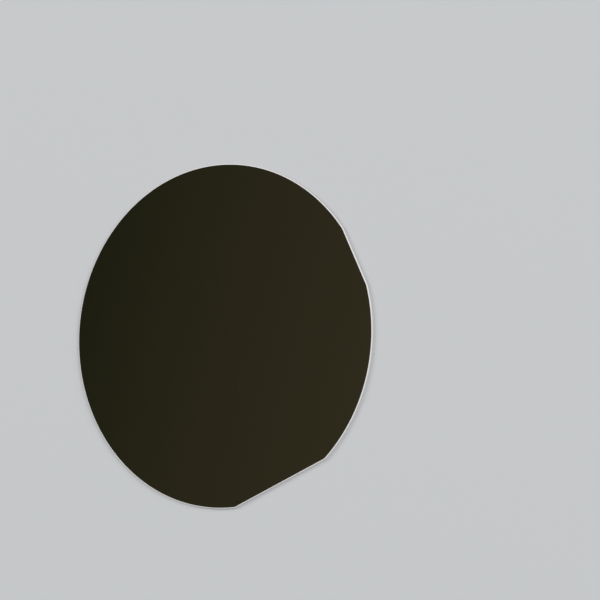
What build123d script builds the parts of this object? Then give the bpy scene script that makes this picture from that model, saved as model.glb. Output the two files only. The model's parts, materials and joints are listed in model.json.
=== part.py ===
from build123d import *
import math
import os

# Indium phosphide wafer: one thin disc, sawn from a single crystal, lapped, rim-ground and polished.
# All sizes are in millimetres.
#
# Frame: the origin is the centre of the round outline, on the etched back face, which lies down.
# +Z points out of the polished front face, -Y out of the long primary flat and +X out of the
# shorter secondary flat.

# Driving dimensions
wafer_diameter = 100.0
wafer_thickness = 0.625
primary_flat_length = 32.5      # straight edge that marks the cleavage direction
secondary_flat_length = 18.0    # shorter edge that tells the front face from the back
flat_corner_radius = 3.0        # blend between the end of a flat and the round rim
rim_rounding = 0.25             # radius ground onto the rim from each face
rim_rounding_limit = 0.49       # most of the thickness that the rounding of one face may take


def flat_distance(flat_length):
    """Distance from the wafer's centre to a flat that cuts a chord of this length."""
    return math.sqrt((wafer_diameter / 2) ** 2 - (flat_length / 2) ** 2)


primary_flat_y = -flat_distance(primary_flat_length)
secondary_flat_x = flat_distance(secondary_flat_length)


def wafer_outline():
    """The round outline with its two flats cut off and their four corners blended."""
    blank = Circle(wafer_diameter / 2)
    below_primary_flat = Pos(0, primary_flat_y) * Rectangle(
        wafer_diameter, wafer_diameter, align=(Align.CENTER, Align.MAX)
    )
    beyond_secondary_flat = Pos(secondary_flat_x, 0) * Rectangle(
        wafer_diameter, wafer_diameter, align=(Align.MIN, Align.CENTER)
    )
    outline = blank - below_primary_flat - beyond_secondary_flat
    return fillet(flat_ends(outline), flat_corner_radius)


def flat_ends(outline):
    """The corners of the outline where a straight flat ends on the round rim."""
    corners = []
    for flat in outline.edges().filter_by(GeomType.LINE):
        corners.extend(flat.vertices())
    return corners


def wafer_solid():
    """The outline raised to the wafer's thickness, with its rim rounded from both faces."""
    disc = extrude(wafer_outline(), wafer_thickness)
    rim_radius = min(rim_rounding, rim_rounding_limit * wafer_thickness)
    front = disc.faces().sort_by(Axis.Z)[-1]
    back = disc.faces().sort_by(Axis.Z)[0]
    return fillet(front.edges() + back.edges(), rim_radius)


os.makedirs("parts", exist_ok=True)
wafer = wafer_solid().solid()
wafer.label = "wafer"
export_step(wafer, "parts/wafer.step")
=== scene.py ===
"""Indium phosphide wafer: a polished face, a ground rim and an etched back, on a pale studio floor."""

import json
import math

import bmesh
import bpy
from bpy.props import FloatProperty, FloatVectorProperty, IntProperty, PointerProperty
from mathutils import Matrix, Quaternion, Vector


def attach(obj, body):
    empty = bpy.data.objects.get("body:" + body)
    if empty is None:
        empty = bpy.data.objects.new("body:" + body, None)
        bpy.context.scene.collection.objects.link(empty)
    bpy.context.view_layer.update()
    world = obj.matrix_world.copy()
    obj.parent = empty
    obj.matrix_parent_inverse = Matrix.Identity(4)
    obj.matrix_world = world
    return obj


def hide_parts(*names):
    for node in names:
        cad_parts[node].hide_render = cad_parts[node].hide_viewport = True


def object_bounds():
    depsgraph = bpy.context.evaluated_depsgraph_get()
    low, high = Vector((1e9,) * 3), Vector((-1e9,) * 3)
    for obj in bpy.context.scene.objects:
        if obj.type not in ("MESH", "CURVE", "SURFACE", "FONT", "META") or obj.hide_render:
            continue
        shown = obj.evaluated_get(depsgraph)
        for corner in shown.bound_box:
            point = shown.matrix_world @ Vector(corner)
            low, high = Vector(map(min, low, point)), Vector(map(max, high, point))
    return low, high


bl_info = {
    "name": "Indium phosphide wafer",
    "version": (1, 0, 0),
    "blender": (4, 5, 0),
    "location": "3D View > Sidebar > Wafer",
    "description": "Makes a polished wafer with two flats, and the studio it is shown in",
    "category": "Object",
}

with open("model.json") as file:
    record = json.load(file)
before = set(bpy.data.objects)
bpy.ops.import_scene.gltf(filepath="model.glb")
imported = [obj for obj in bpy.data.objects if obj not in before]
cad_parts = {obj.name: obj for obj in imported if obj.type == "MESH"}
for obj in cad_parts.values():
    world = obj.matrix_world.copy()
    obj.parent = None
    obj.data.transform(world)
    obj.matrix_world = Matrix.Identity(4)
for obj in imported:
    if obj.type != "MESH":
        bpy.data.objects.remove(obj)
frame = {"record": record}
cad_low, cad_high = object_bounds()

MM = 0.001
MOUNTS = {mount["name"]: mount for mount in frame["record"]["mounts"]}
RIM_RADIUS = MOUNTS["rim"]["dims"]["r_mm"] * MM
THICKNESS = MOUNTS["front_face"]["pos_m"][2]
PRIMARY_FLAT_Y = MOUNTS["primary_flat"]["pos_m"][1]
SECONDARY_FLAT_X = MOUNTS["secondary_flat"]["pos_m"][0]
CAD_WAFER = "wafer"

FACE_SLOT, RIM_SLOT, BACK_SLOT = range(3)
LEVEL_NORMAL = 0.999            # a face whose normal rises this much lies level
ON_FLAT = 0.01 * MM             # a point this near to a flat's line lies on the flat
CUT_TOLERANCE = 1e-7
SHORTEST_STEP = 0.3             # share of an outline step under which two points become one


# --------------------------------------------------------------------------------------------
# Sizes and colours that a user would change
# --------------------------------------------------------------------------------------------


class WaferShape(bpy.types.PropertyGroup):
    """Edge treatment of the wafer; its outline and thickness come from the frame."""

    rim_rounding: FloatProperty(
        name="Rim rounding", description="Radius ground onto the rim from each face",
        default=0.25 * MM, min=0.0, subtype="DISTANCE", unit="LENGTH", precision=5,
    )
    flat_corner_radius: FloatProperty(
        name="Flat corner radius", description="Blend between the end of a flat and the round rim",
        default=3.0 * MM, min=0.0, subtype="DISTANCE", unit="LENGTH", precision=5,
    )
    outline_steps: IntProperty(
        name="Outline steps", description="Straight steps that the full round outline is made of",
        default=360, min=64, max=1440,
    )
    rounding_steps: IntProperty(
        name="Rounding steps", description="Steps across each rounding of the rim",
        default=6, min=2, max=16,
    )
    corner_steps: IntProperty(
        name="Corner steps", description="Steps round each end of a flat",
        default=6, min=2, max=16,
    )


class FaceFinish(bpy.types.PropertyGroup):
    """Polished front face, with a painted reflection that runs from its dark tone to its light tone.
    """

    # The dark and light tones are the two ends of a painted reflection: olive and darker on the side
    # away from the flats, warmer brown and lighter on the side of the flats.
    dark_tone: FloatVectorProperty(
        name="Dark tone", description="Olive tone of the polish on the side away from the flats",
        default=(0.0135, 0.0133, 0.0058), subtype="COLOR", min=0.0, max=1.0,
    )
    middle_tone: FloatVectorProperty(
        name="Middle tone", description="Tone of the polish at the middle of the face",
        default=(0.0233, 0.0207, 0.0100), subtype="COLOR", min=0.0, max=1.0,
    )
    light_tone: FloatVectorProperty(
        name="Light tone", description="Warmer brown tone of the polish on the side of the flats",
        default=(0.0305, 0.0262, 0.0134), subtype="COLOR", min=0.0, max=1.0,
    )
    # Direction across the face in which the painted reflection gets lighter.
    tone_direction: FloatProperty(
        name="Tone direction", description="Direction on the face in which the tone gets lighter",
        default=math.radians(-42.0), subtype="ANGLE", unit="ROTATION",
    )
    roughness: FloatProperty(
        name="Polish roughness", description="Roughness left by the final polish",
        default=0.03, min=0.0, max=1.0, subtype="FACTOR",
    )


class RimFinish(bpy.types.PropertyGroup):
    """Ground rim and flats."""

    color: FloatVectorProperty(
        name="Rim colour", description="Colour of the ground crystal at the rim",
        default=(0.77, 0.735, 0.73), subtype="COLOR", min=0.0, max=1.0,
    )
    roughness: FloatProperty(
        name="Rim roughness", description="Mean roughness of the ground rim",
        default=0.42, min=0.0, max=1.0, subtype="FACTOR",
    )
    groove_height: FloatProperty(
        name="Grinding groove", description="Height of the grooves that the grinding wheel leaves",
        default=0.004 * MM, min=0.0, subtype="DISTANCE", unit="LENGTH", precision=6,
    )


class BackFinish(bpy.types.PropertyGroup):
    """Lapped and etched back face."""

    color: FloatVectorProperty(
        name="Back colour", description="Mean colour of the etched back",
        default=(0.145, 0.137, 0.125), subtype="COLOR", min=0.0, max=1.0,
    )
    roughness: FloatProperty(
        name="Back roughness", description="Mean roughness of the etched back",
        default=0.5, min=0.0, max=1.0, subtype="FACTOR",
    )
    pit_width: FloatProperty(
        name="Etch pit width", description="Usual width of a dimple left by the etch",
        default=0.35 * MM, min=0.01 * MM, subtype="DISTANCE", unit="LENGTH", precision=5,
    )
    pit_depth: FloatProperty(
        name="Etch pit depth", description="Depth of a dimple left by the etch",
        default=0.01 * MM, min=0.0, subtype="DISTANCE", unit="LENGTH", precision=6,
    )


class StudioSettings(bpy.types.PropertyGroup):
    """Floor, lights and camera."""

    floor_color: FloatVectorProperty(
        name="Floor colour", description="Colour of the plain floor",
        default=(0.56, 0.57, 0.58), subtype="COLOR", min=0.0, max=1.0,
    )
    backdrop_color: FloatVectorProperty(
        name="Backdrop colour", description="Colour of the room beyond the floor",
        default=(0.9, 0.91, 0.92), subtype="COLOR", min=0.0, max=1.0,
    )
    room_light: FloatProperty(
        name="Room light", description="Strength of the even light from all round",
        default=0.58, min=0.0, max=2.0,
    )
    key_power: FloatProperty(
        name="Key light", description="Power of the soft light beside the secondary flat",
        default=110.0, min=0.0, subtype="POWER", unit="POWER",
    )
    fill_power: FloatProperty(
        name="Fill light", description="Power of the soft light opposite the key light",
        default=85.0, min=0.0, subtype="POWER", unit="POWER",
    )
    camera_azimuth: FloatProperty(
        name="Camera azimuth", description="Turn of the camera round the wafer, from looking along +Y",
        default=math.radians(56.0), subtype="ANGLE", unit="ROTATION",
    )
    camera_elevation: FloatProperty(
        name="Camera elevation", description="Height of the camera above the floor, as an angle",
        default=math.radians(59.9), subtype="ANGLE", unit="ROTATION",
    )
    camera_roll: FloatProperty(
        name="Camera roll", description="Clockwise turn of the camera about its own line of sight",
        default=math.radians(82.3), subtype="ANGLE", unit="ROTATION",
    )
    camera_distance: FloatProperty(
        name="Camera distance", description="Distance from the camera to the point it is aimed at",
        default=0.640, min=0.1, subtype="DISTANCE", unit="LENGTH",
    )
    camera_aim: FloatVectorProperty(
        name="Camera aim", description="Point on the floor that the camera is aimed at",
        default=(0.0279, -0.0028), size=2, subtype="XYZ", unit="LENGTH",
    )
    camera_lens: FloatProperty(
        name="Camera lens", description="Focal length on a 36 mm wide sensor",
        default=135.0, min=10.0, subtype="DISTANCE_CAMERA",
    )


# --------------------------------------------------------------------------------------------
# Shader maths
# --------------------------------------------------------------------------------------------


class Value:
    """A number socket. Expressions on values add Math nodes."""

    def __init__(self, shader, socket):
        self.shader = shader
        self.socket = socket

    def math(self, operation, *others):
        return self.shader.math(operation, self, *others)

    def __add__(self, other):
        return self.shader.math("ADD", self, other)

    def __radd__(self, other):
        return self.shader.math("ADD", other, self)

    def __sub__(self, other):
        return self.shader.math("SUBTRACT", self, other)

    def __rsub__(self, other):
        return self.shader.math("SUBTRACT", other, self)

    def __mul__(self, other):
        return self.shader.math("MULTIPLY", self, other)

    def __rmul__(self, other):
        return self.shader.math("MULTIPLY", other, self)

    def __truediv__(self, other):
        return self.shader.math("DIVIDE", self, other)


class Shader:
    """The node tree of a material or world, emptied and ready for new nodes."""

    def __init__(self, owner):
        owner.use_nodes = True
        self.tree = owner.node_tree
        self.tree.nodes.clear()

    def node(self, kind, settings=None, **inputs):
        """Adds a node: its settings are set first, then each socket gets its value or link.

        A socket is named in lower case with underscores, or by its number after an underscore.
        """
        made = self.tree.nodes.new(kind)
        for name, value in (settings or {}).items():
            if name == "stops":
                self.set_stops(made.color_ramp.elements, value)
            else:
                setattr(made, name, value)
        for name, value in inputs.items():
            socket = self.find_input(made, name)
            if isinstance(value, Value):
                value = value.socket
            if isinstance(value, bpy.types.NodeSocket):
                self.tree.links.new(value, socket)
            else:
                socket.default_value = value
        return made

    @staticmethod
    def set_stops(elements, stops):
        """Sets a ramp's stops, each a position and a colour, in rising order."""
        while len(elements) < len(stops):
            elements.new(1.0)
        for element, (position, color) in zip(elements, stops):
            element.position = position
            element.color = rgba(color)

    @staticmethod
    def find_input(made, name):
        if name.startswith("_"):
            return made.inputs[int(name[1:])]
        wanted = name.replace("_", " ")
        return next(s for s in made.inputs if s.enabled and s.name.lower() == wanted)

    def value(self, socket):
        return Value(self, socket)

    def math(self, operation, *operands):
        inputs = {f"_{place}": operand for place, operand in enumerate(operands)}
        made = self.node("ShaderNodeMath", {"operation": operation}, **inputs)
        return Value(self, made.outputs[0])

    def position(self, centre=(0, 0, 0), turn=0.0, scale=(1, 1, 1)):
        """Object coordinates measured from centre, turned about Z, then scaled."""
        place = self.node("ShaderNodeTexCoord").outputs["Object"]
        moved = self.node(
            "ShaderNodeMapping", {"vector_type": "TEXTURE"},
            vector=place, location=centre, rotation=(0, 0, turn),
        )
        return self.node(
            "ShaderNodeMapping", {"vector_type": "POINT"}, vector=moved.outputs[0], scale=scale
        ).outputs[0]

    def axes(self, vector):
        parts = self.node("ShaderNodeSeparateXYZ", vector=vector).outputs
        return [Value(self, part) for part in parts]

    def noise(self, vector, scale, detail=2.0, roughness=0.5):
        made = self.node(
            "ShaderNodeTexNoise", vector=vector, scale=scale, detail=detail, roughness=roughness
        )
        return Value(self, made.outputs[0])

    def mix(self, factor, first, second):
        """A colour between two colours."""
        made = self.node(
            "ShaderNodeMix", {"data_type": "RGBA"}, factor=factor, a=rgba(first), b=rgba(second)
        )
        return made.outputs["Result"]

    def ramp(self, factor, stops):
        """A colour between the stops on either side of the factor."""
        made = self.node("ShaderNodeValToRGB", {"stops": stops}, fac=factor)
        return made.outputs["Color"]

    def bump(self, height, distance, strength=1.0):
        made = self.node("ShaderNodeBump", height=height, distance=distance, strength=strength)
        return made.outputs["Normal"]

    def finish_surface(self, **inputs):
        surface = self.node("ShaderNodeBsdfPrincipled", **inputs)
        self.node("ShaderNodeOutputMaterial", surface=surface.outputs[0])


def rgba(color):
    """A colour with its alpha, or a socket as it is."""
    if isinstance(color, bpy.types.NodeSocket):
        return color
    return (*color, 1.0)


# --------------------------------------------------------------------------------------------
# Materials
# --------------------------------------------------------------------------------------------

HAIRLINE_PLACE = (-0.5 * MM, -16.2 * MM, 0.0)
HAIRLINE_TURN = math.radians(63.0)
HAIRLINE_LENGTH = 4.5 * MM
HAIRLINE_WIDTH = 0.35 * MM
SPECK_PLACE = (-14.8 * MM, -46.1 * MM, 0.0)
SPECK_WIDTH = 0.7 * MM
HAIRLINE_COLOR = (0.045, 0.043, 0.03)
SPECK_COLOR = (0.006, 0.006, 0.004)
HAIRLINE_STRENGTH = 0.5
CLOUD_STRENGTH = 0.08


def streak(shader, centre, turn, length, width):
    """A mask that is 1 in the middle of a straight mark and fades to 0 at its ends and sides."""
    along, across, _ = shader.axes(shader.position(centre, turn))
    end_fade = 1 - (along / (length / 2)).math("ABSOLUTE")
    side_fade = 1 - (across / (width / 2)).math("ABSOLUTE")
    return end_fade.math("MAXIMUM", 0.0) * side_fade.math("MAXIMUM", 0.0)


def spot(shader, centre, width):
    """A mask that is 1 in the middle of a round mark and fades to 0 at its rim."""
    x, y, _ = shader.axes(shader.position(centre))
    distance = (x * x + y * y).math("SQRT")
    return (1 - distance / (width / 2)).math("MAXIMUM", 0.0)


def shades(color, *factors):
    """The colour made darker or lighter by each factor."""
    return [[factor * channel for channel in color] for factor in factors]


def polished_face(finish):
    """Mirror polish on dark crystal, with a painted reflection that makes it darker on the side away
    from the flats and warmer and lighter towards them, a random cloudy change of tone, a hairline mark
    and one speck.
    """
    material = bpy.data.materials.new("polished_face")
    shader = Shader(material)
    # Painted reflection: this tone ramp darkens the face on one side and lightens it towards the
    # flats; the cloud noise adds tone that differs at random.
    across, _, _ = shader.axes(shader.position(turn=finish.tone_direction))
    tone = across / (2 * RIM_RADIUS) + 0.5
    cloud = shader.noise(shader.position(), scale=45.0, detail=3.0) - 0.5
    stops = ((0.0, finish.dark_tone), (0.5, finish.middle_tone), (1.0, finish.light_tone))
    color = shader.ramp(tone + cloud * CLOUD_STRENGTH, stops)

    hairline = streak(shader, HAIRLINE_PLACE, HAIRLINE_TURN, HAIRLINE_LENGTH, HAIRLINE_WIDTH)
    color = shader.mix(hairline * HAIRLINE_STRENGTH, color, HAIRLINE_COLOR)
    speck = spot(shader, SPECK_PLACE, SPECK_WIDTH).math("POWER", 0.5)
    color = shader.mix(speck, color, SPECK_COLOR)

    haze = shader.noise(shader.position(), scale=900.0, detail=4.0)
    roughness = finish.roughness * (0.6 + 0.8 * haze) + hairline * 0.1 + speck * 0.4
    shader.finish_surface(base_color=color, metallic=1.0, roughness=roughness)
    return material


def ground_rim(finish):
    """Grey crystal ground by a wheel, with fine grooves that run along the rim, their colour painted
    darker in each groove's bottom and lighter on its ridges as shade.
    """
    material = bpy.data.materials.new("ground_rim")
    shader = Shader(material)
    groove_pattern = shader.position(scale=(40.0, 40.0, 60000.0))
    grooves = shader.noise(groove_pattern, scale=1.0, detail=3.0)
    grain = shader.noise(shader.position(), scale=9000.0, detail=2.0)
    # The grain is tone that differs at random; the groove term is painted shade, making the colour
    # darker in the groove bottoms and lighter on the ridges.
    tone_and_painted_shade = (grooves - 0.5) * 0.5 + (grain - 0.5) * 0.4 + 0.5
    dark, light = shades(finish.color, 0.7, 1.25)
    color = shader.mix(tone_and_painted_shade, dark, light)
    roughness = finish.roughness + (grain - 0.5) * 0.25 + (grooves - 0.5) * 0.15
    normal = shader.bump(grooves, finish.groove_height)
    shader.finish_surface(base_color=color, metallic=0.3, roughness=roughness, normal=normal)
    return material


def etched_back(finish):
    """Dull grey crystal with the fine dimples of a wet etch, its colour painted darker in the hollow
    of each dimple as shade.
    """
    material = bpy.data.materials.new("etched_back")
    shader = Shader(material)
    pits = shader.node(
        "ShaderNodeTexVoronoi", {"feature": "SMOOTH_F1"},
        vector=shader.position(), scale=1 / finish.pit_width, smoothness=0.6,
    )
    pit_height = Value(shader, pits.outputs["Distance"])
    clouds = shader.noise(shader.position(), scale=60.0, detail=5.0, roughness=0.6)
    grain = shader.noise(shader.position(), scale=7000.0, detail=3.0)
    # The clouds and grain are tone that differs at random; the dimple term is painted shade, making
    # the colour darker in each dimple's hollow and lighter at its edge.
    tone_and_painted_shade = (clouds - 0.5) * 0.7 + (grain - 0.5) * 0.5 + (pit_height - 0.4) * 0.35 + 0.5
    dark, light = shades(finish.color, 0.75, 1.3)
    color = shader.mix(tone_and_painted_shade, dark, light)
    roughness = finish.roughness + (clouds - 0.5) * 0.15 + (grain - 0.5) * 0.1
    normal = shader.bump(pit_height + grain * 0.3, finish.pit_depth)
    shader.finish_surface(base_color=color, metallic=0.7, roughness=roughness, normal=normal)
    return material


def plain_floor(color):
    """Even pale floor."""
    material = bpy.data.materials.new("plain_floor")
    Shader(material).finish_surface(base_color=rgba(color), roughness=0.9, specular_ior_level=0.2)
    return material


# --------------------------------------------------------------------------------------------
# Wafer
# --------------------------------------------------------------------------------------------


def cut_flat(bm, point, outward):
    """Cuts off what lies beyond a flat."""
    bmesh.ops.bisect_plane(
        bm, geom=bm.verts[:] + bm.edges[:] + bm.faces[:], dist=CUT_TOLERANCE,
        plane_co=point, plane_no=outward, clear_outer=True,
    )


def blend_flat_ends(bm, distance_along, flat_distance, shape):
    """Blends the two corners where a flat meets the round rim."""
    turn = math.acos(flat_distance / RIM_RADIUS)
    corners = [v for v in bm.verts if abs(distance_along(v) - flat_distance) < ON_FLAT]
    bmesh.ops.bevel(
        bm, geom=corners, offset=shape.flat_corner_radius * math.tan(turn / 2),
        offset_type="OFFSET", segments=shape.corner_steps, profile=0.5,
        affect="VERTICES", clamp_overlap=True, material=-1,
    )


def wafer_mesh(shape):
    """The round outline with two flats, raised to the wafer's thickness, its rim rounded."""
    bm = bmesh.new()
    bmesh.ops.create_circle(bm, cap_ends=True, segments=shape.outline_steps, radius=RIM_RADIUS)
    cut_flat(bm, (0, PRIMARY_FLAT_Y, 0), (0, -1, 0))
    cut_flat(bm, (SECONDARY_FLAT_X, 0, 0), (1, 0, 0))
    outline_step = 2 * math.pi * RIM_RADIUS / shape.outline_steps
    bmesh.ops.remove_doubles(bm, verts=bm.verts[:], dist=SHORTEST_STEP * outline_step)
    blend_flat_ends(bm, lambda v: -v.co.y, -PRIMARY_FLAT_Y, shape)
    blend_flat_ends(bm, lambda v: v.co.x, SECONDARY_FLAT_X, shape)

    raised = bmesh.ops.extrude_face_region(bm, geom=bm.faces[:])
    top = [part for part in raised["geom"] if isinstance(part, bmesh.types.BMVert)]
    bmesh.ops.translate(bm, verts=top, vec=(0, 0, THICKNESS))
    bmesh.ops.recalc_face_normals(bm, faces=bm.faces[:])
    bmesh.ops.bevel(
        bm, geom=[e for e in bm.edges if is_outline_edge(e)], offset=shape.rim_rounding,
        offset_type="OFFSET", segments=shape.rounding_steps, profile=0.5,
        affect="EDGES", clamp_overlap=True, material=-1,
    )
    for face in bm.faces:
        level = abs(face.normal.z) > LEVEL_NORMAL
        face.smooth = not level
        face.material_index = RIM_SLOT
        if level:
            face.material_index = FACE_SLOT if face.normal.z > 0 else BACK_SLOT
    mesh = bpy.data.meshes.new("wafer_disc")
    bm.to_mesh(mesh)
    bm.free()
    return mesh


def is_outline_edge(edge):
    """Whether an edge lies between a level face and the wall."""
    levels = [abs(face.normal.z) > LEVEL_NORMAL for face in edge.link_faces]
    return sorted(levels) == [False, True]


class WAFER_OT_make_wafer(bpy.types.Operator):
    """Makes the wafer, with its polished face, ground rim and etched back"""

    bl_idname = "wafer.make_wafer"
    bl_label = "Wafer"

    def execute(self, context):
        scene = context.scene
        wafer = bpy.data.objects.new("wafer_disc", wafer_mesh(scene.wafer_shape))
        scene.collection.objects.link(wafer)
        wafer.data.materials.append(polished_face(scene.wafer_face))
        wafer.data.materials.append(ground_rim(scene.wafer_rim))
        wafer.data.materials.append(etched_back(scene.wafer_back))
        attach(wafer, "root")
        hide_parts(CAD_WAFER)
        return {"FINISHED"}


# --------------------------------------------------------------------------------------------
# Studio
# --------------------------------------------------------------------------------------------

FLOOR_SIZE = 6.0
KEY_DIRECTION = (1.0, -0.1, 0.45)
KEY_DISTANCE = 4.0
KEY_SIZE = 2.4
FILL_DIRECTION = (-0.7, 0.75, 0.5)
FILL_DISTANCE = 4.0
FILL_SIZE = 2.0
SENSOR_WIDTH = 36.0
CAMERA_CLIP = (0.01, 20.0)


def direction_from(azimuth, elevation):
    """Unit vector towards a place at this azimuth and elevation; azimuth 0 is on the -Y side."""
    level = math.cos(elevation)
    return Vector((math.sin(azimuth) * level, -math.cos(azimuth) * level, math.sin(elevation)))


def add_floor(scene):
    """A plain floor at the height of the wafer's back."""
    bm = bmesh.new()
    bmesh.ops.create_grid(bm, x_segments=1, y_segments=1, size=FLOOR_SIZE / 2)
    bmesh.ops.translate(bm, verts=bm.verts[:], vec=(0, 0, cad_low.z))
    mesh = bpy.data.meshes.new("floor")
    bm.to_mesh(mesh)
    bm.free()
    floor = bpy.data.objects.new("floor", mesh)
    scene.collection.objects.link(floor)
    mesh.materials.append(plain_floor(scene.wafer_studio.floor_color))


def add_room(scene):
    """Even light from all round, and a paler backdrop for what is seen directly or mirrored."""
    settings = scene.wafer_studio
    world = bpy.data.worlds.new("room")
    scene.world = world
    shader = Shader(world)
    path = shader.node("ShaderNodeLightPath").outputs
    seen = shader.value(path["Is Camera Ray"])
    seen = seen.math("MAXIMUM", shader.value(path["Is Glossy Ray"]))
    seen = seen.math("MAXIMUM", shader.value(path["Is Transmission Ray"]))
    strength = seen * (1 - settings.room_light) + settings.room_light
    light = shader.node(
        "ShaderNodeBackground", color=rgba(settings.backdrop_color), strength=strength
    )
    shader.node("ShaderNodeOutputWorld", surface=light.outputs[0])


def add_softbox(scene, name, direction, distance, size, power):
    """A round soft lamp that faces the wafer and isn't seen in the polished face."""
    lamp = bpy.data.lights.new(name, "AREA")
    lamp.shape = "DISK"
    lamp.size = size
    lamp.energy = power
    softbox = bpy.data.objects.new(name, lamp)
    scene.collection.objects.link(softbox)
    towards = Vector(direction).normalized()
    softbox.location = towards * distance
    softbox.rotation_euler = towards.to_track_quat("Z", "Y").to_euler()
    softbox.visible_glossy = False


def add_camera(scene):
    """A long lens aimed at a point on the floor beside the wafer."""
    settings = scene.wafer_studio
    camera = bpy.data.objects.new("camera", bpy.data.cameras.new("camera"))
    scene.collection.objects.link(camera)
    scene.camera = camera
    camera.data.sensor_width = SENSOR_WIDTH
    camera.data.lens = settings.camera_lens
    camera.data.clip_start, camera.data.clip_end = CAMERA_CLIP
    back = direction_from(settings.camera_azimuth, settings.camera_elevation)
    aim = Vector((*settings.camera_aim, cad_low.z))
    camera.location = aim + back * settings.camera_distance
    roll = Quaternion((0, 0, 1), -settings.camera_roll)
    camera.rotation_mode = "QUATERNION"
    camera.rotation_quaternion = back.to_track_quat("Z", "Y") @ roll


class WAFER_OT_make_studio(bpy.types.Operator):
    """Makes the floor, the lights and the camera"""

    bl_idname = "wafer.make_studio"
    bl_label = "Studio"

    def execute(self, context):
        scene = context.scene
        settings = scene.wafer_studio
        add_floor(scene)
        add_room(scene)
        add_softbox(scene, "key", KEY_DIRECTION, KEY_DISTANCE, KEY_SIZE, settings.key_power)
        add_softbox(scene, "fill", FILL_DIRECTION, FILL_DISTANCE, FILL_SIZE, settings.fill_power)
        add_camera(scene)
        scene.view_settings.view_transform = "Standard"
        return {"FINISHED"}


# --------------------------------------------------------------------------------------------
# Panel and registration
# --------------------------------------------------------------------------------------------


class WAFER_PT_sidebar(bpy.types.Panel):
    """Sizes, finishes and studio of the wafer"""

    bl_label = "Wafer"
    bl_space_type = "VIEW_3D"
    bl_region_type = "UI"
    bl_category = "Wafer"

    def draw(self, context):
        for title, group_name, operator in PANEL_ROWS:
            box = self.layout.box()
            box.label(text=title)
            group = getattr(context.scene, group_name)
            for name in group.__annotations__:
                box.prop(group, name)
            if operator:
                box.operator(operator)


PANEL_ROWS = (
    ("Shape", "wafer_shape", None),
    ("Polished face", "wafer_face", None),
    ("Ground rim", "wafer_rim", None),
    ("Etched back", "wafer_back", WAFER_OT_make_wafer.bl_idname),
    ("Studio", "wafer_studio", WAFER_OT_make_studio.bl_idname),
)

GROUPS = {
    "wafer_shape": WaferShape,
    "wafer_face": FaceFinish,
    "wafer_rim": RimFinish,
    "wafer_back": BackFinish,
    "wafer_studio": StudioSettings,
}
CLASSES = (*GROUPS.values(), WAFER_OT_make_wafer, WAFER_OT_make_studio, WAFER_PT_sidebar)


def register():
    for cls in CLASSES:
        bpy.utils.register_class(cls)
    for name, group in GROUPS.items():
        setattr(bpy.types.Scene, name, PointerProperty(type=group))


def unregister():
    for name in GROUPS:
        delattr(bpy.types.Scene, name)
    for cls in reversed(CLASSES):
        bpy.utils.unregister_class(cls)


def main():
    register()
    bpy.ops.wafer.make_wafer()
    bpy.ops.wafer.make_studio()


if __name__ == "__main__":
    main()
